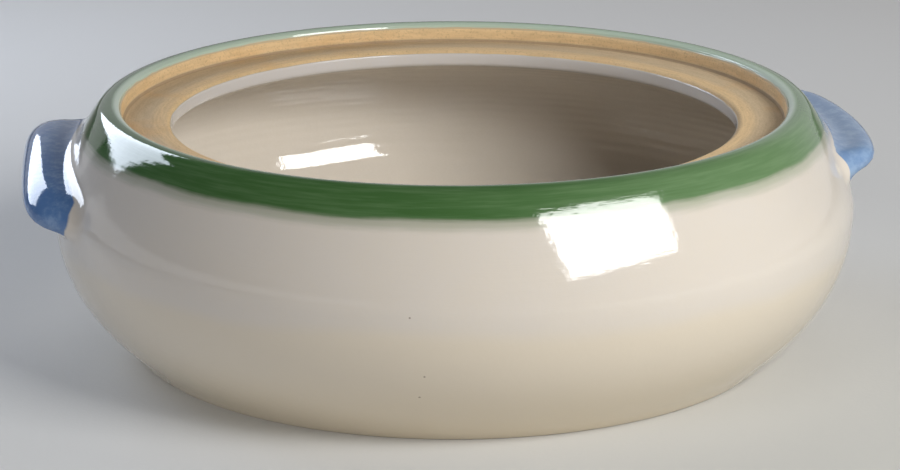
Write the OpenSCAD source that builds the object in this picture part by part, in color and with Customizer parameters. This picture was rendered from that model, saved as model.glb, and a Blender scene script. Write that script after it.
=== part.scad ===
// A round stoneware casserole dish, thrown in one piece. Its rim holds a gallery: an upright
// collar round a ledge that carries a lid. Two lugs are luted to the shoulder.
// Origin: centre of the foot, on the table. +Z is up and the lugs lie along X, the left one on -X.

/* [Bowl] */
// Height of the rim's crest above the table
crest_h = 74.5; // [70:0.5:90]
// Radius of the bowl at its widest
belly_r = 121; // [119:0.5:130]
// Height of the widest place above the table
belly_h = 43; // [38:0.5:46]
// Thickness of the wall at the belly
wall_t = 6.5; // [5:0.1:8]
// Thickness of the floor
floor_t = 6.5; // [5:0.1:9]
// Radius of the flat part of the floor inside
floor_r = 74; // [60:1:84]

/* [Rim and gallery] */
// Radius of the upright collar that keeps the lid in place
collar_r = 99.4; // [96:0.1:101]
// Depth of the lid ledge below the crest
collar_d = 5.8; // [5:0.1:8]
// Rounding of the crest towards the collar
crest_in = 3.4; // [2.6:0.1:3.8]
// Rounding of the crest towards the shoulder
crest_out = 6; // [4:0.1:7]
// Width of the ledge that carries the lid
ledge_w = 14.2; // [10:0.1:18]
// Thickness of the ledge at the throat
ledge_t = 5.6; // [4.5:0.1:7]
// Rounding of the ledge's upper edge at the throat
ledge_round = 2; // [1:0.1:2.5]
// Rounding of the ledge's lower edge at the throat
lip_round = 1.5; // [1:0.1:2]
// Fillet in the corner between collar and ledge
collar_fillet = 0.7; // [0.3:0.1:1]

/* [Foot] */
// Outer radius of the ring that touches the table
foot_r = 97.5; // [90:0.5:102]
// Width of the ring that touches the table
foot_land = 8; // [5:0.5:12]
// Depth of the hollow trimmed inside the foot ring
foot_recess = 1.6; // [1:0.1:2.5]
// Rounding of the foot's outer edge
foot_round = 1; // [0.5:0.1:1.5]

/* [Curves of the wall] */
// Slope of the shoulder where it leaves the crest, from level
shoulder_deg = 51; // [46:1:58]
// Length of the shoulder's straight run below the crest
shoulder_pull = 7; // [4:0.5:10]
// Fullness of the wall above the belly
belly_pull_up = 8; // [5:0.5:12]
// Fullness of the wall below the belly
belly_pull_down = 25; // [18:0.5:28]
// Slope of the wall where it leaves the foot, from upright
foot_deg = 42; // [36:1:50]
// Length of the wall's straight run above the foot
foot_pull = 10; // [6:0.5:14]
// Reach of the ledge's flat underside out from the throat
under_pull = 18; // [14:0.5:22]
// Fullness of the inside above the belly
inner_pull_up = 14; // [10:0.5:17]
// Fullness of the inside below the belly
inner_pull_down = 22; // [16:0.5:26]
// Sweep of the inside from the wall to the flat floor
floor_pull = 26; // [18:0.5:30]

/* [Both lugs] */
// Rise of a lug's dished top towards the nose, from level
lug_dish_deg = 8; // [4:1:14]
// Slope of a lug's underside, from level
lug_under_deg = 31; // [26:1:38]
// Depth to which a lug is bedded in the wall
lug_bed = 3; // [2:0.1:3.5]
// Bluntness of a lug's ends where they are cut square
lug_blunt = 9.5; // [6:0.5:12]

/* [Left lug] */
// Turn of the left lug's middle from the X axis
left_turn_deg = -1; // [-6:0.1:6]
// Half of the angle that the left lug takes up round the bowl
left_half_deg = 18.2; // [14:0.1:24]
// How far the left lug stands out past the belly
left_reach = 9.1; // [8:0.1:11]
// Radius of the left lug's rounded nose
left_nose = 7.8; // [6.4:0.1:8.4]
// Drop from the crest to where the left lug's top leaves the shoulder
left_rise = 10; // [8:0.1:12]
// Drop from the crest to the top of the left lug's nose
left_drop = 12; // [11.4:0.1:13]
// Drop from the crest to where the left lug's underside meets the belly
left_toe = 32.5; // [31:0.1:37]
// Squareness of the left lug's plan: how much further it stands out towards its ends
left_square = 0.38; // [0:0.02:0.46]
// How far the left lug's top sinks towards its near end
left_sink = 9.5; // [0:0.5:12]
// Bluntness of the left lug's near end
left_blunt = 5; // [4:0.5:12]

/* [Right lug] */
// Turn of the right lug's middle from the X axis
right_turn_deg = 2.8; // [-6:0.1:6]
// Half of the angle that the right lug takes up round the bowl
right_half_deg = 19.2; // [15:0.1:24]
// How far the right lug stands out past the belly
right_reach = 5.8; // [5:0.1:9]
// Radius of the right lug's rounded nose
right_nose = 3.6; // [3:0.1:4.4]
// Drop from the crest to where the right lug's top leaves the shoulder
right_rise = 9.5; // [8:0.1:11]
// Drop from the crest to the top of the right lug's nose
right_drop = 11; // [10:0.1:13]
// Drop from the crest to where the right lug's underside meets the belly
right_toe = 24.5; // [23:0.1:29]
// Squareness of the right lug's plan
right_square = 0.04; // [0:0.02:0.46]
// How far the right lug's top sinks towards its near end
right_sink = 2; // [0:0.5:4]
// Bluntness of the right lug's near end
right_blunt = 9.5; // [4:0.5:12]

/* [Hidden] */

cream = [0.87, 0.84, 0.77];
blue = [0.32, 0.46, 0.66];

crest_r = collar_r + crest_in;
ledge_z = crest_h - collar_d;
lip_z = ledge_z - ledge_t;
throat_r = collar_r - ledge_w;
belly_in = belly_r - wall_t;
floor_z = foot_recess + floor_t;

arc_steps = 8;
curve_steps = 20;
// Steps along a lug's top, nose and underside, and round the bowl
lug_curve_steps = 6;
lug_nose_steps = 8;
lug_stations = 20;
// Share of its full depth that a lug keeps at its very end, inside the wall
lug_end = 0.05;
// Root that rounds the fall at a lug's ends
lug_end_power = 3;
// Where a lug's top begins to sink, as a share of its half length before the middle, and how gently
lug_sink_start = 0.6;
lug_sink_power = 1.5;
// Points down the buried back of a lug
lug_back_points = 3;
// Depth of a lug's first and last points below the bowl's skin
lug_skin = 0.6;
// Lengths over which a lug's top and underside run straight out of the bowl and the nose
lug_top_pull = 5;
lug_dish_pull = 6;
lug_under_pull = 4;
lug_toe_pull = 5;

// Points of an arc in the (radius, height) plane
function arc(centre, r, from_deg, to_deg, steps = arc_steps) =
    [for (i = [0:steps])
        let (a = from_deg + (to_deg - from_deg) * i / steps) centre + r * [cos(a), sin(a)]];

// Points of a curve that leaves p0 towards p1 and reaches p3 from p2
function curve(p0, p1, p2, p3, steps = curve_steps) =
    [for (i = [0:steps]) let (t = i / steps, s = 1 - t)
        s * s * s * p0 + 3 * s * s * t * p1 + 3 * s * t * t * p2 + t * t * t * p3];

// The outside, from the foot's edge up to the crest
shoulder_top = [crest_r, crest_h - crest_out] + crest_out * [sin(shoulder_deg), cos(shoulder_deg)];
foot_top = [foot_r, foot_round] + foot_round * [cos(foot_deg), -sin(foot_deg)];
belly_out = [belly_r, belly_h];
outside = concat(
    arc([foot_r, foot_round], foot_round, -90, -foot_deg),
    curve(foot_top, foot_top + foot_pull * [sin(foot_deg), cos(foot_deg)],
        belly_out - [0, belly_pull_down], belly_out),
    curve(belly_out, belly_out + [0, belly_pull_up],
        shoulder_top + shoulder_pull * [cos(shoulder_deg), -sin(shoulder_deg)], shoulder_top),
    arc([crest_r, crest_h - crest_out], crest_out, 90 - shoulder_deg, 90)
);

// The gallery: over the crest, down the collar, along the ledge and round the throat
gallery = concat(
    arc([crest_r, crest_h - crest_in], crest_in, 90, 180),
    arc([collar_r - collar_fillet, ledge_z + collar_fillet], collar_fillet, 0, -90),
    arc([throat_r + ledge_round, ledge_z - ledge_round], ledge_round, 90, 180),
    arc([throat_r + lip_round, lip_z + lip_round], lip_round, 180, 270)
);

// The inside, from under the ledge down to the floor
lip = [throat_r + lip_round, lip_z];
belly_inside = [belly_in, belly_h];
floor_edge = [floor_r, floor_z];
inside = concat(
    curve(lip, lip + [under_pull, 0], belly_inside + [0, inner_pull_up], belly_inside),
    curve(belly_inside, belly_inside - [0, inner_pull_down], floor_edge + [floor_pull, 0], floor_edge)
);

// The underside, trimmed hollow inside the foot ring
underside = [
    [0, floor_z],
    [0, foot_recess],
    [foot_r - foot_land - foot_recess, foot_recess],
    [foot_r - foot_land, 0]
];

// Radius of the bowl's skin at a height
skin_table = [for (p = outside) [p[1], p[0]]];
function skin_r(z) = lookup(z, skin_table);

// A lug's outline where it is fullest: out along the dished top, round the nose and back below
function lug_outline(reach, nose, rise, drop, toe) =
    let (
        top_z = crest_h - rise,
        toe_z = crest_h - toe,
        top_end = [skin_r(top_z) - lug_skin, top_z],
        toe_end = [skin_r(toe_z) - lug_skin, toe_z],
        centre = [belly_r + reach - nose, crest_h - drop - nose],
        from_deg = 90 + lug_dish_deg,
        to_deg = lug_under_deg - 90,
        nose_top = centre + nose * [cos(from_deg), sin(from_deg)],
        nose_low = centre + nose * [cos(to_deg), sin(to_deg)]
    )
    concat(
        curve(top_end, top_end + lug_top_pull * [cos(shoulder_deg), -sin(shoulder_deg)],
            nose_top - lug_dish_pull * [cos(lug_dish_deg), sin(lug_dish_deg)], nose_top, lug_curve_steps),
        [for (i = [1:lug_nose_steps - 1])
            let (a = from_deg + (to_deg - from_deg) * i / lug_nose_steps)
            centre + nose * [cos(a), sin(a)]],
        curve(nose_low, nose_low - lug_under_pull * [cos(lug_under_deg), sin(lug_under_deg)],
            toe_end + [0, lug_toe_pull], toe_end, lug_curve_steps)
    );

// A lug is thumbed down and rounded at its near end. share runs from -1 to 1 over the lug's length,
// and near is the sign of the near end: how far the top has sunk there
function lug_sink(share, near, sink) =
    sink * pow(max(0, (near * share + lug_sink_start) / (1 + lug_sink_start)), lug_sink_power);

// How full the lug is there: 1 over most of its length, falling steeply at the ends
function lug_fullness(share, near, blunt) =
    let (end_blunt = near * share > 0 ? blunt : lug_blunt)
    max(lug_end, pow(1 - pow(abs(share), end_blunt), 1 / lug_end_power));

// An outline with its top sunk: squeezed down on its toe, with its root kept on the wall
function lug_sunk(full, sunk) =
    let (
        top = full[0],
        toe = full[len(full) - 1],
        nose_r = full[lug_curve_steps][0],
        squeeze = 1 - sunk / (top[1] - toe[1]),
        draw = (nose_r - skin_r(top[1] - sunk)) / (nose_r - skin_r(top[1]))
    )
    [for (i = [0:len(full) - 1])
        [i < lug_curve_steps ? nose_r - (nose_r - full[i][0]) * draw : full[i][0],
            toe[1] + (full[i][1] - toe[1]) * squeeze]];

// A station of a lug: each point's root lies in the wall behind it, and the point moves out from
// there by its share of the outline. The buried back closes the section.
function lug_station(line, share, square, fullness) =
    let (
        last = len(line) - 1,
        top_z = line[0][1],
        toe_z = line[last][1]
    )
    concat(
        [for (i = [0:last])
            let (
                z = top_z + (toe_z - top_z) * i / last,
                root = [skin_r(z) - lug_bed, z],
                step = line[i] - root
            )
            root + fullness * [step[0] * (1 + square * share * share), step[1]]],
        [for (i = [1:lug_back_points])
            let (z = toe_z + (top_z - toe_z) * i / (lug_back_points + 1))
            [skin_r(z) - lug_bed - lug_skin, z]]
    );

module bowl() {
    color(cream)
        rotate_extrude($fn = 180)
            polygon(concat(outside, gallery, inside, underside));
}

// A lug swept round the bowl, with its middle on +X
module lug(half_deg, reach, nose, rise, drop, toe, square, sink, blunt, near) {
    full = lug_outline(reach, nose, rise, drop, toe);
    count = len(full) + lug_back_points;
    stations = [for (k = [0:lug_stations]) -cos(180 * k / lug_stations)];
    points = [for (s = stations,
            p = lug_station(lug_sunk(full, lug_sink(s, near, sink)), s, square,
                lug_fullness(s, near, blunt)))
        [p[0] * cos(s * half_deg), p[0] * sin(s * half_deg), p[1]]];
    sides = [for (k = [0:lug_stations - 1], i = [0:count - 1])
        let (a = k * count + i, b = k * count + (i + 1) % count)
        each [[a, a + count, b + count], [a, b + count, b]]];
    ends = [[for (i = [0:count - 1]) i], [for (i = [count - 1:-1:0]) lug_stations * count + i]];
    color(blue)
        polyhedron(points, concat(sides, ends));
}

module dish() {
    union() {
        bowl();
        rotate([0, 0, right_turn_deg])
            lug(right_half_deg, right_reach, right_nose, right_rise, right_drop, right_toe,
                right_square, right_sink, right_blunt, near = -1);
        rotate([0, 0, 180 + left_turn_deg])
            lug(left_half_deg, left_reach, left_nose, left_rise, left_drop, left_toe,
                left_square, left_sink, left_blunt, near = 1);
    }
}

dish();
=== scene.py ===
# %% [markdown]
# A round stoneware casserole dish, dressed for its portrait.
# The CAD part gives the fired clay's true form. It is imported first, as a fixed frame that nothing
# here may move. The dish is then modelled again over it as one smooth skin, because a gloss glaze
# shows every flat facet of an imported mesh as a broken reflection.

# %% Load the frame
import math

import bpy
from mathutils import Matrix, Vector, noise


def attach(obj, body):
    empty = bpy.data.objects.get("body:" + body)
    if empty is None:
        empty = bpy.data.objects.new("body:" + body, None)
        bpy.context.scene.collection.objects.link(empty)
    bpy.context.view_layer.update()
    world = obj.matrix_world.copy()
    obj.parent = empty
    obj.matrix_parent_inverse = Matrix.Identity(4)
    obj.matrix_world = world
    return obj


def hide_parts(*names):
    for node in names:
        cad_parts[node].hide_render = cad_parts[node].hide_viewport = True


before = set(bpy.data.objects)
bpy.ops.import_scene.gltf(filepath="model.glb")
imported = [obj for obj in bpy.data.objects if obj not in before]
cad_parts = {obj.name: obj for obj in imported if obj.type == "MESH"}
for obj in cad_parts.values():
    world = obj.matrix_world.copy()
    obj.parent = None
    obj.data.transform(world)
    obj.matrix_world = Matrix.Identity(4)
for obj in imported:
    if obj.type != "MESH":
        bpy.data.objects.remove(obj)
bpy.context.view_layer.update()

MM = 0.001

# %% [markdown]
# The camera. A product photographer stands about a metre back with a long lens, so that a round rim
# stays a calm ellipse. The lens looks over the rim and down into the dish. The dish is turned a
# little, so that its left lug comes forward: the camera, the lamps and the room keep the studio's
# axes, and all of them are turned the other way round the dish instead.

# %% Camera
STUDIO_TURN = math.radians(-7.5)
CREST_H = 74.5
RIM_HEIGHT = CREST_H * MM

def in_studio(x, y, z):
    """A place given from the photographer's side, +X to the right and +Y away, in the dish's frame."""
    return Matrix.Rotation(STUDIO_TURN, 4, "Z") @ Vector((x, y, z))

CAMERA_REACH = 0.88044
CAMERA_LIFT = 0.21571
CAMERA_PITCH = math.radians(16.445)
SENSOR_MM, LENS_MM = 36, 120
PICTURE_WIDTH, SHIFT_PIXELS = 900, -4

bpy.ops.object.camera_add(location=in_studio(0, -CAMERA_REACH, RIM_HEIGHT + CAMERA_LIFT),
                          rotation=(math.pi / 2 - CAMERA_PITCH, 0, STUDIO_TURN))
camera = bpy.context.object
camera.name = "studio_camera"
camera.data.sensor_width = SENSOR_MM
camera.data.lens = LENS_MM
camera.data.shift_x = SHIFT_PIXELS / PICTURE_WIDTH
camera.data.clip_start = 0.05
camera.data.clip_end = 30
bpy.context.scene.camera = camera
bpy.context.scene.view_settings.view_transform = "Standard"
print("camera at", [round(c, 3) for c in camera.location])

# %% [markdown]
# The floor is one wide sheet of pale paper. A real sheet is swept up behind the dish. Here it lies
# flat and is large enough that no view finds its edge, and a few cuts keep its squares small.

# %% Floor
FLOOR_SIZE = 12
bpy.ops.object.select_all(action="DESELECT")
bpy.ops.mesh.primitive_plane_add(size=FLOOR_SIZE, location=(0, 0, 0))
floor = bpy.context.object
floor.name = "studio_floor"
bpy.ops.object.mode_set(mode="EDIT")
bpy.ops.mesh.subdivide(number_cuts=5)
bpy.ops.object.mode_set(mode="OBJECT")
print("floor is", FLOOR_SIZE, "m wide")

# %% [markdown]
# Light. Two soft boxes make the picture: a wide one in front on the right, which models the belly
# and leaves the bright square on the glaze, and a cooler one behind on the left, which edges the rim
# and the left lug. Each is an area lamp, set by four corners. The cool box is a pair, one lamp for
# its light and one for its reflection, because its cloth leans over the dish. Fills soften the
# shadows: strips that lie low in front and on the left, so that they reach the belly but can't see
# over the rim, a card behind, and a lamp that is flagged off the dish and lights the paper alone.
# The fills leave no reflection.

# %% Lamps
def soft_box(name, corners, watts, tint, light=True, shine=True):
    """A rectangular lamp over four corners, given from the photographer's side."""
    left_top, right_top, right_low, left_low = (in_studio(*corner) for corner in corners)
    middle = (left_top + right_top + right_low + left_low) / 4
    across = ((right_top - left_top) + (right_low - left_low)) / 2
    upward = ((left_top - left_low) + (right_top - right_low)) / 2
    side = across.normalized()
    back = side.cross(upward).normalized()
    if back.dot(middle - Vector((0, 0, RIM_HEIGHT))) < 0:
        back, side = -back, -side
    turn = Matrix((side, back.cross(side), back)).transposed()
    bpy.ops.object.light_add(type="AREA", location=middle, rotation=turn.to_euler())
    lamp = bpy.context.object
    lamp.name = name
    lamp.data.shape = "RECTANGLE"
    lamp.data.size = across.length
    lamp.data.size_y = upward.length
    lamp.data.energy = watts
    lamp.data.color = tint
    lamp.visible_diffuse = light
    lamp.visible_glossy = shine
    print(name, "is", round(across.length, 2), "by", round(upward.length, 2), "m")
    return lamp

DAY_WHITE = (1, 0.995, 0.98)
WARM_WHITE = (1, 0.93, 0.86)
COOL_WHITE = (0.79, 0.87, 1)
SKY_WHITE = (0.72, 0.82, 1)
soft_box("key_box", ((0.239, -0.469, 0.528), (0.713, -0.266, 0.647), (0.826, -0.395, 0.417),
                     (0.352, -0.598, 0.298)), 6.9, DAY_WHITE)
soft_box("rim_box_cloth", ((-0.638, 0.142, 0.444), (-0.207, 0.308, 0.349), (-0.354, 0.582, 0.16),
                           (-0.785, 0.417, 0.255)), 3.6, COOL_WHITE, light=False)
soft_box("rim_box_light", ((-0.652, 0.217, 0.488), (-0.365, 0.612, 0.52), (-0.365, 0.612, 0.195),
                           (-0.64, 0.245, 0.265)), 2.4, SKY_WHITE, shine=False)
soft_box("low_fill", ((-0.6, -1.2, 0.24), (0.6, -1.2, 0.24), (0.6, -1.2, 0.02), (-0.6, -1.2, 0.02)),
         2.8, WARM_WHITE, shine=False)
soft_box("back_fill", ((-0.4, 0.85, 1.0), (0.4, 0.85, 1.0), (0.4, 1.15, 0.6), (-0.4, 1.15, 0.6)),
         2.2, WARM_WHITE, shine=False)
soft_box("left_fill", ((-1.0, -0.7, 0.17), (-1.0, 0.3, 0.17), (-1.0, 0.3, 0.02), (-1.0, -0.7, 0.02)),
         1.8, SKY_WHITE, shine=False)
paper_light = soft_box("paper_light", ((-0.7, -0.6, 0.7), (-0.3, -0.9, 0.7), (-0.3, -0.9, 0.4),
                                       (-0.7, -0.6, 0.4)), 2.0, DAY_WHITE, shine=False)
only_paper = bpy.data.collections.new("only_paper")
only_paper.objects.link(floor)
paper_light.light_linking.receiver_collection = only_paper

# %% [markdown]
# A few short helpers keep the materials readable. One adds a node, one plugs a value in, one does
# arithmetic and one mixes two colours. The soft step is the ramp that fades one glaze into another,
# and the grain is the noise that keeps each finish from looking printed.

# %% Node helpers
def add_node(tree, kind, **settings):
    node = tree.nodes.new(kind)
    for key, value in settings.items():
        if key.startswith("in_"):
            node.inputs[key[3:].replace("_", " ")].default_value = value
        else:
            setattr(node, key, value)
    return node

def plug(tree, socket, value):
    """Links a node's output, or sets a plain number or colour."""
    if isinstance(value, bpy.types.NodeSocket):
        tree.links.new(value, socket)
    else:
        socket.default_value = value

def calc(tree, operation, a, b=None, c=None):
    node = add_node(tree, "ShaderNodeMath", operation=operation)
    for socket, value in zip(node.inputs, (a, b, c)):
        if value is not None:
            plug(tree, socket, value)
    return node.outputs[0]

def step(tree, value, low, high, to_low=0.0, to_high=1.0):
    """A soft step: to_low up to low, to_high from high on, and a smooth ramp between."""
    node = add_node(tree, "ShaderNodeMapRange", interpolation_type="SMOOTHSTEP")
    for socket, v in zip(node.inputs, (value, low, high, to_low, to_high)):
        plug(tree, socket, v)
    return node.outputs[0]

def blend(tree, share, a, b):
    node = add_node(tree, "ShaderNodeMix", data_type="RGBA")
    plug(tree, node.inputs[0], share)
    plug(tree, node.inputs[6], a)
    plug(tree, node.inputs[7], b)
    return node.outputs[2]

def grain(tree, place, scale, detail=3.0, roughness=0.55, distortion=0.0):
    """Noise about 0.5, with about scale features to the metre."""
    node = add_node(tree, "ShaderNodeTexNoise", in_Scale=scale, in_Detail=detail, in_Roughness=roughness,
                    in_Distortion=distortion)
    tree.links.new(place, node.inputs["Vector"])
    return node.outputs[0]

def about(tree, value, size):
    """Turns noise about 0.5 into a shift about 0."""
    return calc(tree, "MULTIPLY", calc(tree, "SUBTRACT", value, 0.5), size)

print("node helpers ready")

# %% [markdown]
# The room. A gloss glaze mirrors it, so it is painted in broad soft areas. It is dim in front and
# paler low down, where the walls catch light from the paper. It is pale behind, where the backdrop
# stands: that edge is crisp on the left and fades out slowly on the right. A low white board on the
# left, just above the paper, lights the left side but can't see over the rim, so the inside stays
# dark on the right.

# %% Room
world = bpy.data.worlds.new("studio_room")
bpy.context.scene.world = world
world.use_nodes = True
room = world.node_tree
room.nodes.clear()
ROOM_DIM = (0.03, 0.03, 0.033, 1)
ROOM_PALE = (0.50, 0.505, 0.52, 1)
room_out = add_node(room, "ShaderNodeOutputWorld")
room_glow = add_node(room, "ShaderNodeBackground")
room_place = add_node(room, "ShaderNodeTexCoord")
room_turn = add_node(room, "ShaderNodeMapping")
room_turn.inputs["Rotation"].default_value = (0, 0, -STUDIO_TURN)
room.links.new(room_place.outputs["Generated"], room_turn.inputs["Vector"])
room_axes = add_node(room, "ShaderNodeSeparateXYZ")
room.links.new(room_turn.outputs[0], room_axes.inputs[0])
to_right, away, up = room_axes.outputs
print("room turned by", round(math.degrees(STUDIO_TURN), 1), "degrees")

# %% Backdrop, board and low wall
BACKDROP_HAZE = 0.12
BOARD_SLOPE, BOARD_START, BOARD_TOP = -0.8, 0.58, 0.14
BOARD_GLOW, WALL_GLOW = 1.7, 0.55

right_side = step(room, to_right, -0.2, 0.2)

def left_to_right(left, right):
    return step(room, right_side, 0.0, 1.0, left, right)

backdrop_across = step(room, away, left_to_right(0.75, 0.45), left_to_right(0.775, 0.90))
backdrop = calc(room, "MULTIPLY", backdrop_across, step(room, up, 0.35, 0.65, 1.0, BACKDROP_HAZE))
board_top = calc(room, "MINIMUM", calc(room, "MULTIPLY_ADD", away, BOARD_SLOPE, BOARD_START), BOARD_TOP)
over_board = calc(room, "SUBTRACT", up, board_top)
board = calc(room, "MULTIPLY", step(room, to_right, -0.35, -0.45),
             step(room, over_board, -0.015, 0.015, BOARD_GLOW, 0.0))
low_wall = step(room, up, 0.0, 0.16, WALL_GLOW, 0.0)
lit = calc(room, "MAXIMUM", calc(room, "MAXIMUM", backdrop, low_wall), board)
room.links.new(blend(room, lit, ROOM_DIM, ROOM_PALE), room_glow.inputs[0])
room_glow.inputs[1].default_value = 1.0
room.links.new(room_glow.outputs[0], room_out.inputs[0])
print("room has", len(room.nodes), "nodes")

# %% [markdown]
# The paper's finish. Studio paper is matt, with faint fibres and a little cloudiness. A painted shade
# darkens it towards the front right, and painted light makes it paler at the back. The tone is plain
# colour on Object coordinates, so every view sees the same sheet.
# Object coordinates, so every view sees the same sheet.

# %% Floor paper
PAPER = (0.645, 0.645, 0.635, 1)
PAPER_DEEP = (0.61, 0.61, 0.60, 1)
PAPER_PAINTED_SHADE = (0.50, 0.50, 0.475, 1)
PAPER_PAINTED_LIGHT = (0.71, 0.71, 0.70, 1)
CORNER_FROM, CORNER_FULL = 0.02, 0.28
FAR_FROM, FAR_FULL = 0.12, 0.42
FIBRES_PER_METRE, CLOUDS_PER_METRE, CLOUD_SHARE = 700, 9, 0.6
paper = bpy.data.materials.new("pale_paper")
paper.use_nodes = True
tree = paper.node_tree
sheet = tree.nodes["Principled BSDF"]
place = add_node(tree, "ShaderNodeTexCoord").outputs["Object"]
fibres = grain(tree, place, FIBRES_PER_METRE, detail=2)
clouds = grain(tree, place, CLOUDS_PER_METRE, detail=4)
tone = calc(tree, "ADD", calc(tree, "MULTIPLY", clouds, CLOUD_SHARE),
            calc(tree, "MULTIPLY", fibres, 1 - CLOUD_SHARE))
floor_axes = add_node(tree, "ShaderNodeSeparateXYZ")
tree.links.new(place, floor_axes.inputs[0])
to_corner = calc(tree, "SUBTRACT", floor_axes.outputs[0], floor_axes.outputs[1])
sheet_tone = blend(tree, tone, PAPER_DEEP, PAPER)
# Painted shade deepens the paper at the front right, and painted light brightens it at the back.
sheet_tone = blend(tree, step(tree, to_corner, CORNER_FROM, CORNER_FULL), sheet_tone, PAPER_PAINTED_SHADE)
sheet_tone = blend(tree, step(tree, floor_axes.outputs[1], FAR_FROM, FAR_FULL), sheet_tone, PAPER_PAINTED_LIGHT)
tree.links.new(sheet_tone, sheet.inputs["Base Color"])
sheet.inputs["Roughness"].default_value = 0.85
sheet.inputs["Specular IOR Level"].default_value = 0.2
weave = add_node(tree, "ShaderNodeBump", in_Strength=0.25, in_Distance=0.2 * MM)
tree.links.new(fibres, weave.inputs["Height"])
tree.links.new(weave.outputs[0], sheet.inputs["Normal"])
floor.data.materials.append(paper)
print("paper has", len(tree.nodes), "nodes")

# %% [markdown]
# The section. A potter's rib gives a thrown bowl one continuous curve from the foot to the rim, so
# the whole dish is one section, spun round. The section starts under the floor, rounds the foot,
# swells to the belly and closes over the shoulder. It rolls over the crest, drops down the
# collar to the ledge that carries a lid, rounds the throat and runs back under the ledge to the floor.
# The gallery is wiped clean of glaze so that a lid can't stick, so its bare clay lies a hair lower
# than the glaze that ends on either side of it.

# %% Sizes of the section, in millimetres
BELLY_R, BELLY_H = 121, 43
WALL_T, FLOOR_T, FLOOR_R = 6.5, 6.5, 74
COLLAR_R, COLLAR_D = 99.4, 5.8
CREST_IN, CREST_OUT = 3.4, 6
LEDGE_W, LEDGE_T, LEDGE_ROUND, LIP_ROUND, COLLAR_FILLET = 14.2, 5.6, 2, 1.5, 0.7
FOOT_R, FOOT_LAND, FOOT_RECESS, FOOT_ROUND = 97.5, 8, 1.6, 1
SHOULDER_DEG, SHOULDER_PULL = 51, 7
BELLY_PULL_UP, BELLY_PULL_DOWN = 8, 25
FOOT_DEG, FOOT_PULL = 42, 10
UNDER_PULL, INNER_PULL_UP, INNER_PULL_DOWN, FLOOR_PULL = 18, 14, 22, 26

CREST_R = COLLAR_R + CREST_IN
LEDGE_Z = CREST_H - COLLAR_D
LIP_Z = LEDGE_Z - LEDGE_T
THROAT_R = COLLAR_R - LEDGE_W
FLOOR_Z = FOOT_RECESS + FLOOR_T
GLAZE_T = 0.22
print("crest at", CREST_R, "ledge at", round(LEDGE_Z, 1), "throat at", round(THROAT_R, 1), "mm")

# %% [markdown]
# Line tools. The section is put together from arcs, from curves that leave and arrive in a given
# direction as a rib does, and from a pacer that sets points at an even distance along a line. Even
# points give even faces, and even faces give calm reflections.

# %% Line tools
def arm(degrees, length=1.0):
    return Vector((math.cos(math.radians(degrees)), math.sin(math.radians(degrees)))) * length

def arc(centre, radius, start, end, steps=12):
    return [Vector(centre) + arm(start + (end - start) * i / steps, radius) for i in range(steps + 1)]

def sweep(p0, p1, p2, p3, steps=60):
    """A curve that leaves p0 towards p1 and reaches p3 from p2."""
    points = []
    for i in range(steps + 1):
        t = i / steps
        s = 1 - t
        points.append(s ** 3 * p0 + 3 * s * s * t * p1 + 3 * s * t * t * p2 + t ** 3 * p3)
    return points

def paced(points, pace):
    """The same line with points about as far apart as pace, ends kept."""
    lengths = [0.0]
    for a, b in zip(points, points[1:]):
        lengths.append(lengths[-1] + (b - a).length)
    count = max(1, round(lengths[-1] / pace))
    result, k = [], 0
    for i in range(count + 1):
        want = lengths[-1] * i / count
        while k < len(points) - 2 and lengths[k + 1] < want:
            k += 1
        share = (want - lengths[k]) / max(lengths[k + 1] - lengths[k], 1e-9)
        result.append(points[k].lerp(points[k + 1], min(max(share, 0), 1)))
    return result

print("a quarter arc has", len(arc((0, 0), 1, 0, 90)), "points")

# %% [markdown]
# Outside of the section. The foot ring is a flat land with a shallow trimmed hollow inside it. The
# wall has wide rows of faces below the lugs, and narrow rows beside and above them, where the lugs
# will be drawn out.

# %% Outside
LUG_ZONE_LOW = 33
LOW_ROW, LUG_ROW, LAND_ROW = 2.2, 0.85, 4
HUB_R, HOLLOW_ROW = 12, 14
shoulder_top = Vector((CREST_R, CREST_H - CREST_OUT)) + arm(90 - SHOULDER_DEG, CREST_OUT)
foot_top = Vector((FOOT_R, FOOT_ROUND)) + arm(-FOOT_DEG, FOOT_ROUND)
belly_out = Vector((BELLY_R, BELLY_H))

lower_wall = sweep(foot_top, foot_top + arm(90 - FOOT_DEG, FOOT_PULL),
                   belly_out - Vector((0, BELLY_PULL_DOWN)), belly_out)
upper_wall = sweep(belly_out, belly_out + Vector((0, BELLY_PULL_UP)),
                   shoulder_top + arm(-SHOULDER_DEG, SHOULDER_PULL), shoulder_top)
below_lugs = [p for p in lower_wall if p.y <= LUG_ZONE_LOW]
beside_lugs = [p for p in lower_wall if p.y > LUG_ZONE_LOW]

hollow_start = Vector((HUB_R, FOOT_RECESS))
hollow_end = Vector((FOOT_R - FOOT_LAND - FOOT_RECESS, FOOT_RECESS))
underside = ([Vector((0, FOOT_RECESS))] + paced([hollow_start, hollow_end], HOLLOW_ROW)
             + paced([Vector((FOOT_R - FOOT_LAND, 0)), Vector((FOOT_R, 0))], LAND_ROW))
outside = (arc((FOOT_R, FOOT_ROUND), FOOT_ROUND, -90, -FOOT_DEG, 3)[1:]
           + paced(below_lugs, LOW_ROW)[1:] + paced([below_lugs[-1]] + beside_lugs, LUG_ROW)[1:]
           + paced(upper_wall, LUG_ROW)[1:]
           + arc((CREST_R, CREST_H - CREST_OUT), CREST_OUT, 90 - SHOULDER_DEG, 90, 8)[1:])
print("outside has", len(outside), "points")

# %% [markdown]
# Gallery and inside. The glaze ends part of the way down the crest's inner side, and again just
# over the throat's round edge. Between the two the line steps back by the glaze's thickness, so the
# bare clay lies lower in the mesh too and not only in the colour.

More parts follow.
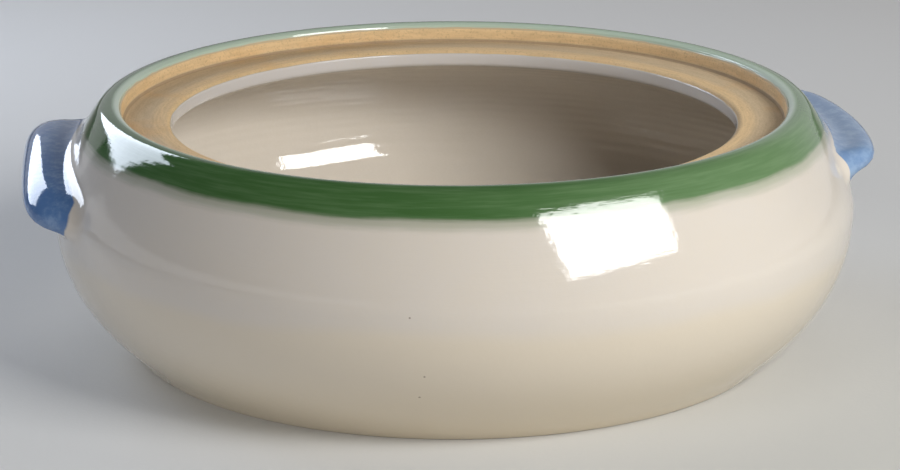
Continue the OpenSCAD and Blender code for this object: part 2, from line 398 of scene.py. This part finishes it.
# %% Gallery
RIM_GLAZE_DEG, THROAT_GLAZE_DEG = 134, 155
LEDGE_ROW = 2
crest = (CREST_R, CREST_H - CREST_IN)
ledge_edge = (THROAT_R + LEDGE_ROUND, LEDGE_Z - LEDGE_ROUND)
bare_collar = COLLAR_R + GLAZE_T
bare_ledge = LEDGE_Z - GLAZE_T
gallery = (arc(crest, CREST_IN, 90, RIM_GLAZE_DEG, 6)[1:]
           + arc(crest, CREST_IN - GLAZE_T, RIM_GLAZE_DEG + 3, 180, 6)
           + arc((bare_collar - COLLAR_FILLET, bare_ledge + COLLAR_FILLET), COLLAR_FILLET, 0, -90, 4)
           + paced([Vector((bare_collar - COLLAR_FILLET, bare_ledge)),
                    Vector((THROAT_R + LEDGE_ROUND, bare_ledge))], LEDGE_ROW)[1:]
           + arc(ledge_edge, LEDGE_ROUND - GLAZE_T, 90, THROAT_GLAZE_DEG - 4, 7)[1:]
           + arc(ledge_edge, LEDGE_ROUND, THROAT_GLAZE_DEG, 180, 3)
           + arc((THROAT_R + LIP_ROUND, LIP_Z + LIP_ROUND), LIP_ROUND, 180, 270, 5))
print("gallery has", len(gallery), "points")

# %% Inside
INNER_ROW, DEEP_ROW = 1.5, 1.9
DISC_R, FLOOR_ROW = 8, 11
belly_in = Vector((BELLY_R - WALL_T, BELLY_H))
lip = Vector((THROAT_R + LIP_ROUND, LIP_Z))
floor_edge = Vector((FLOOR_R, FLOOR_Z))
inside = (paced(sweep(lip, lip + Vector((UNDER_PULL, 0)),
                      belly_in + Vector((0, INNER_PULL_UP)), belly_in), INNER_ROW)[1:]
          + paced(sweep(belly_in, belly_in - Vector((0, INNER_PULL_DOWN)),
                        floor_edge + Vector((FLOOR_PULL, 0)), floor_edge), DEEP_ROW)[1:]
          + paced([floor_edge, Vector((DISC_R, FLOOR_Z))], FLOOR_ROW)[1:] + [Vector((0, FLOOR_Z))])
section = underside + outside + gallery + inside
print("section has", len(section), "points")

# %% [markdown]
# Spinning the section. The first point is set down and the rest of the line is extruded from it
# point by point, as one clicks out a profile by hand. The spin tool then turns it in four arcs.
# The two arcs that will carry the lugs get narrow steps, because a lug's blunt ends need them.

# %% Draw and spin the section
LUG_ARC = 46
LUG_STEP, WALL_STEP = 0.4, 1.25

def at_angle(point, degrees):
    side = arm(degrees, point.x)
    return Vector((side.x, side.y, point.y)) * MM

START = -LUG_ARC / 2
bpy.ops.object.select_all(action="DESELECT")
bpy.ops.mesh.primitive_plane_add(size=0.01, location=(0, 0, 0))
dish = bpy.context.object
dish.name = "glazed_dish"
bpy.ops.object.mode_set(mode="EDIT")
bpy.ops.mesh.merge(type="CENTER")
bpy.ops.transform.translate(value=at_angle(section[0], START))
for before, after in zip(section, section[1:]):
    move = at_angle(after, START) - at_angle(before, START)
    bpy.ops.mesh.extrude_region_move(TRANSFORM_OT_translate={"value": move})
bpy.ops.mesh.select_all(action="SELECT")
for degrees, pace in ((LUG_ARC, LUG_STEP), (180 - LUG_ARC, WALL_STEP)) * 2:
    bpy.ops.mesh.spin(steps=round(degrees / pace), angle=math.radians(degrees),
                      center=(0, 0, 0), axis=(0, 0, 1))
bpy.ops.mesh.select_all(action="SELECT")
bpy.ops.mesh.remove_doubles(threshold=0.00001)
bpy.ops.mesh.normals_make_consistent(inside=False)
bpy.ops.object.mode_set(mode="OBJECT")
print("bowl has", len(dish.data.vertices), "points and", len(dish.data.polygons), "faces")

# %% [markdown]
# The lugs. On the real dish each lug is a pad of clay, luted to the shoulder and smoothed into it
# with a wet finger, so there is no seam. Here the wall's own faces are drawn out into the lug: each
# point of the wall moves to its place on the lug's outline, fully over most of the length and
# falling away steeply at the ends. Each lug is also thumbed down towards the end that is nearer the
# camera. An operator can't follow the bowl's curve so closely, so this one step sets the points in
# code, and the smooth tool then does the wet finger's work. The two were made by hand and differ: the
# left lug is taller and squarer than the right one, and stands out further.

# %% Lug outlines
LUG_DISH, LUG_UNDER, LUG_BED = 8, 31, 3
LUG_BLUNT, LUG_POWER = 9.5, 3
SINK_START, SINK_POWER = 0.6, 1.5
TOP_PULL, DISH_PULL, UNDER_LUG_PULL, TOE_PULL = 5, 6, 4, 5
LEFT_REGAIN, RIGHT_REGAIN = 0.12, 0.3

def wall_radius(height):
    """Radius of the plain wall at a height, in millimetres."""
    for a, b in zip(outside, outside[1:]):
        if a.y <= height <= b.y:
            return a.x + (b.x - a.x) * (height - a.y) / max(b.y - a.y, 1e-9)
    return 0.0

def lug_outline(reach, nose, rise, drop, toe):
    """The outline where the lug is fullest, and the radius at which its nose begins."""
    top = Vector((wall_radius(CREST_H - rise), CREST_H - rise))
    low = Vector((wall_radius(CREST_H - toe), CREST_H - toe))
    centre = Vector((BELLY_R + reach - nose, CREST_H - drop - nose))
    nose_top = centre + arm(90 + LUG_DISH, nose)
    nose_low = centre + arm(LUG_UNDER - 90, nose)
    over = sweep(top, top + arm(-SHOULDER_DEG, TOP_PULL), nose_top - arm(LUG_DISH, DISH_PULL), nose_top)
    under = sweep(nose_low, nose_low - arm(LUG_UNDER, UNDER_LUG_PULL), low + Vector((0, TOE_PULL)), low)
    line = over + arc(centre, nose, 90 + LUG_DISH, LUG_UNDER - 90, 40)[1:-1] + under
    return line, len(over) - 1

def sunk_line(outline, nose_start, sunk):
    """The outline squeezed down on its toe, with its root kept on the wall."""
    top, toe, nose_r = outline[0], outline[-1], outline[nose_start].x
    squeeze = 1 - sunk / (top.y - toe.y)
    draw = (nose_r - wall_radius(top.y - sunk)) / (nose_r - wall_radius(top.y))
    line = []
    for i, p in enumerate(outline):
        r = nose_r - (nose_r - p.x) * draw if i < nose_start else p.x
        line.append(Vector((r, toe.y + (p.y - toe.y) * squeeze)))
    return paced(line, 0.1)

def point_at(line, share):
    k = min(int(share * (len(line) - 1)), len(line) - 2)
    return line[k].lerp(line[k + 1], share * (len(line) - 1) - k)

print("wall at the lugs' height is", round(wall_radius(60), 1), "mm from the axis")

# %% [markdown]
# Drawing out. Each lug is told where it sits, which end is nearer the camera, half its length in
# degrees, and its outline in millimetres: reach past the belly, round of the nose, and the depths of
# its top, its crown and its toe below the crest. Its reach gets a little more, which the smoothing
# takes off again. Square fills out both ends, sink thumbs the near end down and blunt rounds that
# end's corner. The attribute lug_cover keeps how far each point was drawn, so that the blue can begin
# where the lug stands out by the length blue_from.

# %% Draw out the lugs
ZONE_ABOVE, ZONE_BELOW, ZONE_ENDS = 3, 5, 1.2
ON_THE_WALL = 0.2
EASE_IN = 1.5
mesh = dish.data
lug_cover = mesh.attributes.new("lug_cover", "FLOAT", "POINT")
softened = []

def draw_out_lug(turn, near, half, reach, nose, rise, drop, toe, square, sink, blunt, blue_from):
    """Turn and half are in degrees, near is 1 or -1, square and blunt are ratios, the rest is mm."""
    outline, nose_start = lug_outline(reach, nose, rise, drop, toe)
    toe_z = CREST_H - toe
    lines, moved = {}, 0
    for v in mesh.vertices:
        radius, height = math.hypot(v.co.x, v.co.y) / MM, v.co.z / MM
        if not toe_z - ZONE_BELOW < height < CREST_H - rise + ZONE_ABOVE:
            continue
        if abs(radius - wall_radius(height)) > ON_THE_WALL:
            continue
        angle = (math.degrees(math.atan2(v.co.y, v.co.x)) - turn + 180) % 360 - 180
        share = angle / half
        if abs(share) > ZONE_ENDS:
            continue
        softened.append(v.index)
        key = round(share, 4)
        if key not in lines:
            sunk = sink * max(0, (near * share + SINK_START) / (1 + SINK_START)) ** SINK_POWER
            lines[key] = sunk_line(outline, nose_start, sunk)
        line = lines[key]
        top_z = line[0].y
        if abs(share) >= 1 or not toe_z < height < top_z:
            continue
        goal = point_at(line, (top_z - height) / (top_z - toe_z))
        root = radius - LUG_BED
        full = (1 - abs(share) ** (blunt if near * share > 0 else LUG_BLUNT)) ** (1 / LUG_POWER)
        pull = root + full * (1 + square * share * share) * (goal.x - root) - radius
        if pull <= 0:
            continue
        ease = full * min(pull / EASE_IN, 1)
        place = arm(angle + turn, radius + pull)
        v.co = Vector((place.x, place.y, height + ease * (goal.y - height))) * MM
        lug_cover.data[v.index].value = pull / blue_from
        moved += 1
    print("lug at", turn, "degrees: moved", moved, "points")

draw_out_lug(turn=2.8, near=-1, half=19.2, reach=5.8 + RIGHT_REGAIN, nose=3.6, rise=9.5, drop=11, toe=24.5,
             square=0.04, sink=2, blunt=9.5, blue_from=0.4)
draw_out_lug(turn=179, near=1, half=18.2, reach=9.1 + LEFT_REGAIN, nose=7.8, rise=10, drop=12, toe=32.5,
             square=0.38, sink=9.5, blunt=5, blue_from=1.2)

# %% [markdown]
# The wet finger. Only the lugs and the wall close round them are smoothed, so the rest of the bowl
# keeps its true section. Three light rounds take the hard edges off. They also draw the lugs in a
# little, which their regain has made up for beforehand.

# %% Smooth the lugs into the wall
SMOOTH_ROUNDS = 3
mesh.polygons.foreach_set("select", [False] * len(mesh.polygons))
mesh.edges.foreach_set("select", [False] * len(mesh.edges))
mesh.vertices.foreach_set("select", [False] * len(mesh.vertices))
for index in softened:
    mesh.vertices[index].select = True
bpy.ops.object.select_all(action="DESELECT")
dish.select_set(True)
bpy.context.view_layer.objects.active = dish
bpy.ops.object.mode_set(mode="EDIT")
bpy.ops.mesh.select_mode(type="VERT")
bpy.ops.mesh.vertices_smooth(factor=0.5, repeat=SMOOTH_ROUNDS)
bpy.ops.object.mode_set(mode="OBJECT")
print("smoothed", len(softened), "points")

# %% [markdown]
# The hand. A thrown wall is never quite true. The outside is pressed in here and there by a tenth of
# a millimetre, and the inside keeps the slow waves that the potter's fingers left. The finer rings
# come later, in the glaze. The outside only moves into the clay, so it stays inside the CAD's box.

# %% Make it hand-thrown
PRESS, PRESS_SCALE = 0.14, 14
RING_DEPTH, WAVE_PITCH, WAVE_SCALE, WAVE_WANDER = 0.07, 9, 35, 2.5
WEAR_ROUND, WEAR_UP = 9, 60
INSIDE_BY = 3

bowl_mark = mesh.attributes.new("in_bowl", "FLOAT", "POINT")
pressed = waved = 0
for v in mesh.vertices:
    radius, height = math.hypot(v.co.x, v.co.y) / MM, v.co.z / MM
    inner_side = radius < wall_radius(height) - INSIDE_BY
    if FLOOR_Z - 0.5 < height < LIP_Z + 0.2 and inner_side:
        bowl_mark.data[v.index].value = 1
    if radius < FLOOR_R or height < FOOT_ROUND or radius < COLLAR_R and height > LIP_Z - 1:
        continue
    turn = math.atan2(v.co.y, v.co.x)
    if radius > COLLAR_R and abs(radius - wall_radius(height)) < 0.3 and height < CREST_H - 1:
        shift = -PRESS * (0.5 + 0.5 * noise.noise(v.co * PRESS_SCALE))
        pressed += 1
    elif height < LIP_Z and inner_side:
        wander = WAVE_WANDER * noise.noise(v.co * WAVE_SCALE)
        swing = height / WAVE_PITCH * 2 * math.pi + turn + wander
        wear = 0.5 + noise.noise(Vector((v.co.x * WEAR_ROUND, v.co.y * WEAR_ROUND, v.co.z * WEAR_UP)))
        shift = RING_DEPTH * wear * math.sin(swing)
        waved += 1
    else:
        continue
    v.co.x *= 1 + shift / radius
    v.co.y *= 1 + shift / radius
bpy.ops.object.shade_smooth()
print("pressed", pressed, "points outside, waved", waved, "inside")

# %% [markdown]
# The glaze. Three glazes lie side by side under one gloss: cream over the body, green brushed round
# the rim and blue on the lugs. A brushed band is dense where the loaded brush went first and frays
# into streaks below, so its edge is a noise that is drawn out round the bowl.
# All of it is colour on Object coordinates or on the mesh's own attributes, so it stays with the
# dish in every view.

# %% Glaze colours
CREAM = (0.60, 0.555, 0.50, 1)
CREAM_LOW = (0.625, 0.56, 0.46, 1)
CREAM_INSIDE = (0.68, 0.62, 0.54, 1)
CREAM_FOOT = (0.64, 0.555, 0.415, 1)
THROAT_WHITE = (0.625, 0.59, 0.565, 1)
GREEN = (0.045, 0.112, 0.032, 1)
GREEN_THIN = (0.22, 0.33, 0.18, 1)
CREST_PALE = (0.50, 0.60, 0.49, 1)
BLUE = (0.08, 0.165, 0.35, 1)
BLUE_THIN = (0.33, 0.45, 0.60, 1)
IRON = (0.10, 0.07, 0.05, 1)
CLAY_EDGE = (0.52, 0.40, 0.25, 1)

glaze = bpy.data.materials.new("gloss_glaze")
glaze.use_nodes = True
tree = glaze.node_tree
gloss = tree.nodes["Principled BSDF"]
place = add_node(tree, "ShaderNodeTexCoord").outputs["Object"]

DRAWN_SHARE = 0.08

def place_parts(tree, place):
    """X, Y, height and radius of a place, and the place drawn out so that noise runs round the bowl."""
    axes = add_node(tree, "ShaderNodeSeparateXYZ")
    tree.links.new(place, axes.inputs[0])
    x, y, z = axes.outputs
    radius = calc(tree, "SQRT", calc(tree, "ADD", calc(tree, "MULTIPLY", x, x), calc(tree, "MULTIPLY", y, y)))
    drawn = add_node(tree, "ShaderNodeCombineXYZ")
    plug(tree, drawn.inputs[0], calc(tree, "MULTIPLY", x, DRAWN_SHARE))
    plug(tree, drawn.inputs[1], calc(tree, "MULTIPLY", y, DRAWN_SHARE))
    plug(tree, drawn.inputs[2], calc(tree, "SUBTRACT", z, radius))
    return x, y, z, radius, drawn.outputs[0]

x, y, z, radius, round_bowl = place_parts(tree, place)
streaks = grain(tree, round_bowl, 650, detail=3, roughness=0.6)
print("glaze reads its place from", len(tree.nodes), "nodes")

# %% [markdown]
# Cream. It is thinner and warmer towards the foot, where the clay shows through, and whiter round the
# throat, where it pools. Fine mottling and a few iron specks come from the clay below. The mark
# in_bowl gives the inside its own, slightly lighter coat.

# %% Cream
LOW_FULL, LOW_TO = 34, 40
FOOT_FULL, FOOT_TO = 2, 26
THROAT_FROM, THROAT_FULL = 98, 97
low_edge = calc(tree, "ADD", z, about(tree, grain(tree, place, 16, detail=2), 8 * MM))
cream = blend(tree, step(tree, low_edge, LOW_FULL * MM, LOW_TO * MM, 1.0, 0.0), CREAM, CREAM_LOW)
cream = blend(tree, step(tree, z, FOOT_FULL * MM, FOOT_TO * MM, 1.0, 0.0), cream, CREAM_FOOT)
inside_bowl = add_node(tree, "ShaderNodeAttribute", attribute_name="in_bowl").outputs["Fac"]
cream = blend(tree, step(tree, radius, THROAT_FROM * MM, THROAT_FULL * MM), cream, THROAT_WHITE)
cream = blend(tree, inside_bowl, cream, CREAM_INSIDE)
print("cream without its marks reaches", len(tree.nodes), "nodes")

# %% Mottling and specks
MOTTLE_DEPTH = 0.28
SPECKS_PER_METRE, LARGEST_SPECK, SPECK_DEPTH = 90.0, 0.05, 0.6
mottle = calc(tree, "ADD", calc(tree, "MULTIPLY", grain(tree, place, 1500, detail=2), 0.5),
              calc(tree, "MULTIPLY", grain(tree, place, 60, detail=5), 0.5))
cream = blend(tree, step(tree, mottle, 0.35, 0.65, 0.0, MOTTLE_DEPTH), cream, CREAM_LOW)
specks = add_node(tree, "ShaderNodeTexVoronoi", feature="F1", in_Scale=SPECKS_PER_METRE)
tree.links.new(place, specks.inputs["Vector"])
speck_size = step(tree, grain(tree, place, 37, detail=1), 0.52, 0.75, 0.0, LARGEST_SPECK)
speck = calc(tree, "LESS_THAN", specks.outputs["Distance"], speck_size)
cream = blend(tree, calc(tree, "MULTIPLY", speck, SPECK_DEPTH), cream, IRON)
print("cream reaches", len(tree.nodes), "nodes")

# %% [markdown]
# Green band. It is brushed on in two coats on a turning wheel: a thin one that reaches lower and a
# full one above it, each with a streaky edge. The coat is thinner on the right, and it runs off the
# crest towards the wiped clay, where it fires pale.

# %% Green band
COAT_LOW, COAT_FULL = CREST_H - 11.2, CREST_H - 8.2
SECOND_LOW, SECOND_FULL = CREST_H - 8.4, CREST_H - 6.6
FIRST_SHARE, RIGHT_SHARE, STREAK_SHARE = 0.42, 0.42, 0.16
WAVE_MM, STREAK_MM = 2.2, 1.6
PALE_FROM, PALE_FULL, PALE_SHARE = 103.3, 101.4, 0.92
wave = grain(tree, place, 30, detail=4)
frayed = calc(tree, "ADD", calc(tree, "ADD", z, about(tree, wave, WAVE_MM * MM)),
              about(tree, streaks, STREAK_MM * MM))
first_coat = step(tree, frayed, COAT_LOW * MM, COAT_FULL * MM, 0.0, FIRST_SHARE)
second_coat = step(tree, frayed, SECOND_LOW * MM, SECOND_FULL * MM, 0.0, 1 - FIRST_SHARE)
laid = calc(tree, "ADD", first_coat, second_coat)
outer_side = step(tree, radius, 98.5 * MM, 99.5 * MM)
band = calc(tree, "MULTIPLY", laid, outer_side)
thin_right = step(tree, x, -0.03, 0.10, 0.0, RIGHT_SHARE)
brushed = step(tree, streaks, 0.35, 0.75, 0.0, STREAK_SHARE)
green = blend(tree, calc(tree, "ADD", thin_right, brushed), GREEN, GREEN_THIN)
pale = step(tree, radius, PALE_FROM * MM, PALE_FULL * MM, 0.0, PALE_SHARE)
green = blend(tree, pale, green, CREST_PALE)
colour = blend(tree, band, cream, green)
print("green band is", round(CREST_H - COAT_LOW, 1), "mm deep")

# %% [markdown]
# Blue lugs. The blue is dabbed on with a soft brush and stops short of the wall. It is wiped off low
# down, under the lug, and lies thinner on the right lug than on the left.

# %% Blue lugs
cover = add_node(tree, "ShaderNodeAttribute", attribute_name="lug_cover").outputs["Fac"]
dabs = grain(tree, place, 240, detail=5, roughness=0.7)
WIPED_FULL, WIPED_TO, WIPED_SHARE = 44, 54, 0.8
wiped_low = step(tree, z, WIPED_FULL * MM, WIPED_TO * MM, WIPED_SHARE, 0.0)
ragged = calc(tree, "SUBTRACT", calc(tree, "ADD", cover, about(tree, dabs, 0.15)), wiped_low)
blued = step(tree, ragged, 0.8, 1.4)
THIN_DABS = THIN_RIGHT = 0.32
blue_thin = calc(tree, "ADD", step(tree, dabs, 0.40, 0.70, 0.0, THIN_DABS),
                 step(tree, x, -0.01, 0.01, 0.0, THIN_RIGHT))
blue = blend(tree, blue_thin, BLUE, BLUE_THIN)
colour = blend(tree, blued, colour, blue)
print("lugs reach", len(tree.nodes), "nodes")

# %% [markdown]
# Bare edge. A sponge never follows the ring exactly, so a hair of clay shows beside the gallery and
# its border wavers. The clay's own faces begin just inside this border.

# %% Bare edge beside the gallery
RIM_WIPE, THROAT_WIPE = 100.2, 85.35
edge_wave = about(tree, grain(tree, place, 120, detail=3), 0.6 * MM)
rim_edge = step(tree, calc(tree, "ADD", radius, edge_wave), RIM_WIPE * MM, (RIM_WIPE + 0.2) * MM, 1.0, 0.0)
throat_edge = step(tree, calc(tree, "ADD", radius, edge_wave), THROAT_WIPE * MM, (THROAT_WIPE + 0.15) * MM)
high = step(tree, z, 67.0 * MM, 67.2 * MM)
bare = calc(tree, "MULTIPLY", calc(tree, "MULTIPLY", rim_edge, throat_edge), high)
colour = blend(tree, bare, colour, CLAY_EDGE)
tree.links.new(colour, gloss.inputs["Base Color"])
print("glaze colour is linked")

# %% [markdown]
# Gloss. A bright glaze mirrors the lamps sharply, so it is smooth and has a high index. Three bumps,
# each less than a tenth of a millimetre deep, break the mirrored edges: the slow ripple of a melt,
# the pinholes with the brush marks, and inside the bowl the fine rings of the potter's fingers.

# %% Gloss
GLOSS_ROUGH, BARE_ROUGH, GLAZE_IOR = 0.06, 0.8, 1.62
RIPPLE_MM, PINHOLE_MM, RING_MM, RING_PITCH = 0.06, 0.025, 0.025, 2.4
tree.links.new(step(tree, bare, 0.0, 1.0, GLOSS_ROUGH, BARE_ROUGH), gloss.inputs["Roughness"])
gloss.inputs["IOR"].default_value = GLAZE_IOR
ripple = add_node(tree, "ShaderNodeBump", in_Strength=1.0, in_Distance=RIPPLE_MM * MM)
tree.links.new(grain(tree, place, 110, detail=3, roughness=0.6), ripple.inputs["Height"])
pinholes = add_node(tree, "ShaderNodeBump", in_Strength=1.0, in_Distance=PINHOLE_MM * MM)
tree.links.new(calc(tree, "ADD", grain(tree, place, 500, detail=3), streaks), pinholes.inputs["Height"])
tree.links.new(ripple.outputs[0], pinholes.inputs["Normal"])
up_the_wall = calc(tree, "SUBTRACT", z, radius)
swing = calc(tree, "ADD", calc(tree, "MULTIPLY", up_the_wall, 2 * math.pi / (RING_PITCH * MM)),
             about(tree, grain(tree, place, 25, detail=2), 6.0))
rings = calc(tree, "MULTIPLY", calc(tree, "SINE", swing), inside_bowl)
finger_rings = add_node(tree, "ShaderNodeBump", in_Strength=1.0, in_Distance=RING_MM * MM)
tree.links.new(rings, finger_rings.inputs["Height"])
tree.links.new(pinholes.outputs[0], finger_rings.inputs["Normal"])
tree.links.new(finger_rings.outputs[0], gloss.inputs["Normal"])
dish.data.materials.append(glaze)
print("glaze has", len(tree.nodes), "nodes")

# %% [markdown]
# Bare clay. The gallery and the foot ring are wiped, so the stoneware body shows: golden where the
# flame caught the upright collar and the ledge's edge, greyer on the flat of the ledge. The grain is
# sand in the body, drawn into fine lines by the turning tool. The crease at the collar's foot gets a
# painted shade, a dark line where shade falls. The clay is a second material, because it is matt
# where the glaze is bright.

# %% Clay
CLAY_GOLD = (0.74, 0.53, 0.29, 1)
CLAY_GREY = (0.60, 0.46, 0.29, 1)
CLAY_DARK_GRAIN_AND_SHADE = (0.25, 0.17, 0.10, 1)
CLAY_ORANGE = (0.70, 0.42, 0.17, 1)
clay = bpy.data.materials.new("bare_clay")
clay.use_nodes = True
tree = clay.node_tree
body = tree.nodes["Principled BSDF"]
place = add_node(tree, "ShaderNodeTexCoord").outputs["Object"]
x, y, z, radius, round_bowl = place_parts(tree, place)
sand = grain(tree, place, 1300, detail=3, roughness=0.7)
lines = grain(tree, round_bowl, 1400, detail=3, roughness=0.6)
flat = step(tree, z, (LEDGE_Z + 1.2) * MM, (LEDGE_Z + 0.3) * MM)
inner = step(tree, radius, 92.5 * MM, 88.5 * MM)
grey = calc(tree, "MULTIPLY", flat, calc(tree, "SUBTRACT", 1.0, inner))
tone = blend(tree, grey, CLAY_GOLD, CLAY_GREY)
tone = blend(tree, step(tree, grain(tree, place, 35, detail=3), 0.5, 0.75, 0.0, 0.5), tone, CLAY_ORANGE)
tone = blend(tree, step(tree, lines, 0.3, 0.7, 0.20, 0.0), tone, CLAY_DARK_GRAIN_AND_SHADE)
tone = blend(tree, step(tree, sand, 0.30, 0.5, 0.35, 0.0), tone, CLAY_DARK_GRAIN_AND_SHADE)
# Painted shade: a dark line in the crease where the collar meets the ledge.
painted_crease_shade = calc(tree, "MULTIPLY", step(tree, radius, 98.7 * MM, 99.2 * MM),
              step(tree, z, (LEDGE_Z + 0.7) * MM, (LEDGE_Z + 0.3) * MM))
tone = blend(tree, calc(tree, "MULTIPLY", painted_crease_shade, 0.6), tone, CLAY_DARK_GRAIN_AND_SHADE)
tree.links.new(tone, body.inputs["Base Color"])
body.inputs["Roughness"].default_value = 0.85
body.inputs["Specular IOR Level"].default_value = 0.3
tooth = add_node(tree, "ShaderNodeBump", in_Strength=0.6, in_Distance=0.12 * MM)
tree.links.new(calc(tree, "ADD", sand, lines), tooth.inputs["Height"])
tree.links.new(tooth.outputs[0], body.inputs["Normal"])
dish.data.materials.append(clay)
print("clay has", len(tree.nodes), "nodes")

# %% [markdown]
# The sponge. The gallery and the foot are wiped, so their faces are picked by place and get the clay.

# %% Give the wiped faces their clay
BARE_OUTER, BARE_INNER = 100.1, 85.6
wiped = 0
for face in mesh.polygons:
    r, h = math.hypot(face.center.x, face.center.y) / MM, face.center.z / MM
    in_gallery = h > LIP_Z + LIP_ROUND and BARE_INNER < r < BARE_OUTER
    under_foot = h < FOOT_RECESS + 0.2 and r < FOOT_R + 0.2
    if in_gallery or under_foot:
        face.material_index = 1
        wiped += 1
print("bare clay on", wiped, "faces")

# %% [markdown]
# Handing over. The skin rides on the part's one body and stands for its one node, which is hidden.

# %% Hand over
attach(dish, "root")
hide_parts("dish")
